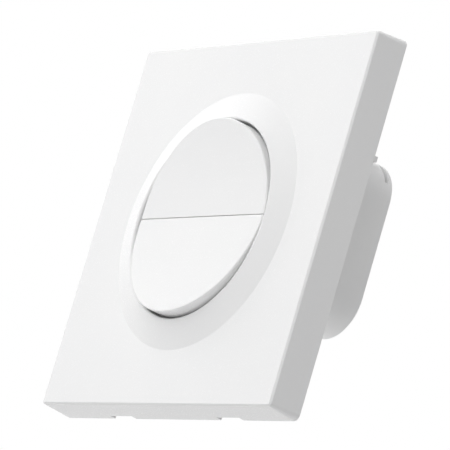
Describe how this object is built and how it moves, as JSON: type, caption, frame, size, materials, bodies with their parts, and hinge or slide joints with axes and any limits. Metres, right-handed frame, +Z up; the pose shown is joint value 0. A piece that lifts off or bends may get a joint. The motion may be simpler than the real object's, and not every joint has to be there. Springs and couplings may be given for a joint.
{
  "type": "wall light switch",
  "caption": "Square wall switch with a raised round bezel, half-round upper and lower push buttons and a compact rear housing with screw terminals.",
  "frame": {"origin": "centre of the wall screw slots, on the wall plane at the back of the plate", "axes": "-Y points out of the wall to the viewer, +X to the viewer's right, +Z up"},
  "size_m": [0.086, 0.0349, 0.086],
  "materials": {
    "cover_white": "satin moulded white",
    "button_white": "satin moulded white",
    "carrier_white": "moulded white",
    "frame_white": "moulded white, fine texture",
    "housing_white": "moulded white, fine texture",
    "screw_steel": "zinc plated",
    "board_green": "solder mask",
    "radio_blue": "solder mask",
    "shield_metal": "tinned sheet",
    "header_black": "moulded",
    "pin_brass": "gold flash",
    "tact_black": "moulded",
    "plunger_grey": "moulded",
    "relay_black": "moulded",
    "terminal_green": "moulded",
    "clamp_metal": "tinned brass look",
    "ferrite_grey": "sintered",
    "coil_yellow": "polyester tape",
    "capacitor_sleeve": "shrink sleeve",
    "fuse_brown": "moulded",
    "varistor_blue": "epoxy dip"
  },
  "bodies": {
    "base": {"faceplate": "cover_white", "button_carrier": "carrier_white", "mounting_frame": "frame_white", "rear_housing": "housing_white", "carrier_screws": "screw_steel", "control_board": "board_green", "power_board": "board_green", "radio_board": "radio_blue", "radio_shield": "shield_metal", "header_body": "header_black", "header_pins": "pin_brass", "upper_tact_switch": "tact_black", "lower_tact_switch": "tact_black", "left_relay": "relay_black", "right_relay": "relay_black", "terminal_block": "terminal_green", "terminal_clamps": "clamp_metal", "terminal_screws": "screw_steel", "transformer_core": "ferrite_grey", "transformer_coil": "coil_yellow", "bulk_capacitor": "capacitor_sleeve", "fuse": "fuse_brown", "varistor": "varistor_blue", "rectifier": "tact_black"},
    "upper_button": {"upper_button": "button_white"},
    "lower_button": {"lower_button": "button_white"},
    "upper_plunger": {"upper_tact_plunger": "plunger_grey"},
    "lower_plunger": {"lower_tact_plunger": "plunger_grey"}
  },
  "joints": [
    {"name": "upper_press", "type": "hinge", "parent": "base", "child": "upper_button", "pos_m": [0, -0.007, 0.0041], "axis": [-1, 0, 0], "range_deg": [0, 1.6], "stiffness_Nm_per_rad": 0.9},
    {"name": "lower_press", "type": "hinge", "parent": "base", "child": "lower_button", "pos_m": [0, -0.007, -0.0033], "axis": [1, 0, 0], "range_deg": [0, 1.6], "stiffness_Nm_per_rad": 0.9},
    {"name": "upper_plunger_travel", "type": "slide", "parent": "base", "child": "upper_plunger", "axis": [0, 1, 0], "range_m": [0, 0.00032]},
    {"name": "lower_plunger_travel", "type": "slide", "parent": "base", "child": "lower_plunger", "axis": [0, 1, 0], "range_m": [0, 0.00032]}
  ],
  "couplings": [
    {"joint": "upper_plunger_travel", "follows": "upper_press", "m_per_rad": 0.0108},
    {"joint": "lower_plunger_travel", "follows": "lower_press", "m_per_rad": 0.0108}
  ]
}
